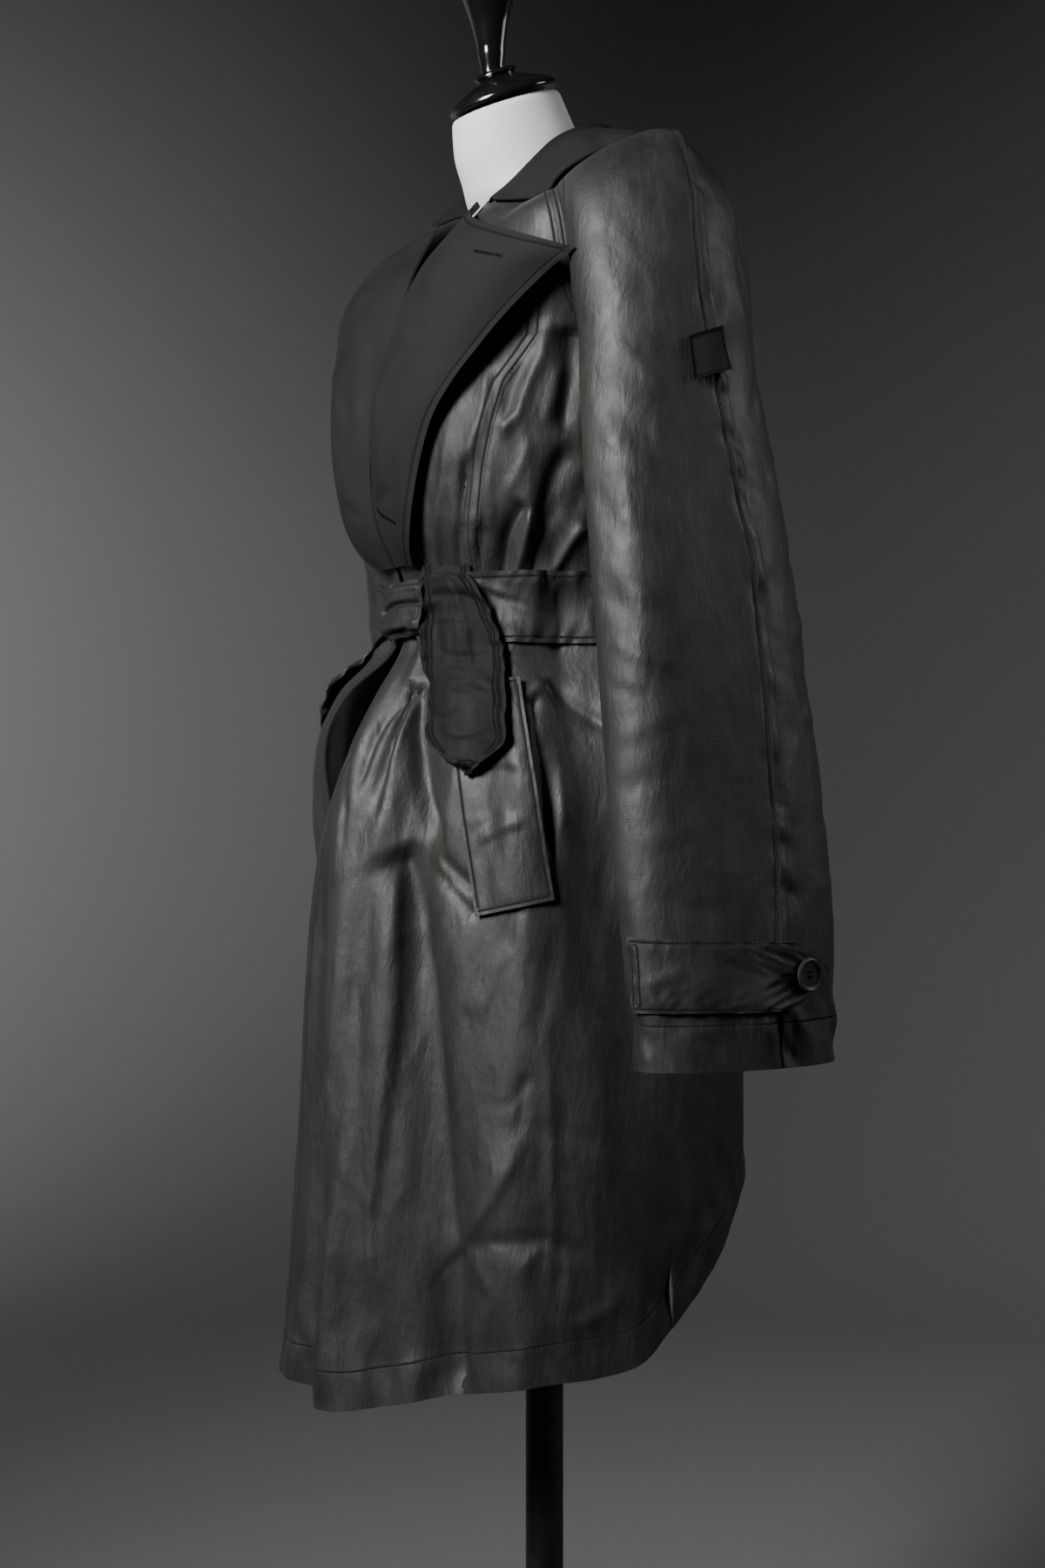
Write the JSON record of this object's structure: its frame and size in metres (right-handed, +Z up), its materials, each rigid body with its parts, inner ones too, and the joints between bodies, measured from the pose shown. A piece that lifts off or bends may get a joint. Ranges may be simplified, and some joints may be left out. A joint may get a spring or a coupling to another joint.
{
  "type": "waxed coat on a dress form",
  "caption": "Knee-length belted raglan coat in waxed cotton, worn open-necked on a limbless dress form that stands on a pole and round base.",
  "frame": {"origin": "on the floor at the pole's axis, at the middle of the base's underside", "axes": "+Z up along the pole; the coat faces -Y and the wearer's left is +X"},
  "size_m": [0.6124, 0.3968, 1.6144],
  "materials": {
    "waxed_cotton": "waxed cotton in charcoal brown, satin, faintly crinkled",
    "facing_cotton": "dull near-black cotton facing",
    "belt_cotton": "waxed cotton, duller side out",
    "form_cotton": "smooth white jersey cover",
    "black_lacquer": "turned wood in gloss black lacquer",
    "black_steel": "satin black enamelled steel",
    "button_resin": "dark matt resin"
  },
  "bodies": {
    "root": {"front_left": "waxed_cotton", "front_right": "waxed_cotton", "back": "waxed_cotton", "sleeve_left": "waxed_cotton", "sleeve_right": "waxed_cotton", "lapel_left": "facing_cotton", "lapel_right": "facing_cotton", "collar": "facing_cotton", "belt_band": "belt_cotton", "belt_knot": "belt_cotton", "belt_end_near": "belt_cotton", "belt_end_far": "belt_cotton", "pocket_welt_left": "waxed_cotton", "pocket_welt_right": "waxed_cotton", "cuff_tab_left": "waxed_cotton", "cuff_tab_right": "waxed_cotton", "cuff_button_left": "button_resin", "cuff_button_right": "button_resin", "sleeve_patch": "facing_cotton", "form_torso": "form_cotton", "neck_cap": "black_lacquer", "finial": "black_lacquer", "pole": "black_steel", "base": "black_steel"}
  },
  "joints": []
}
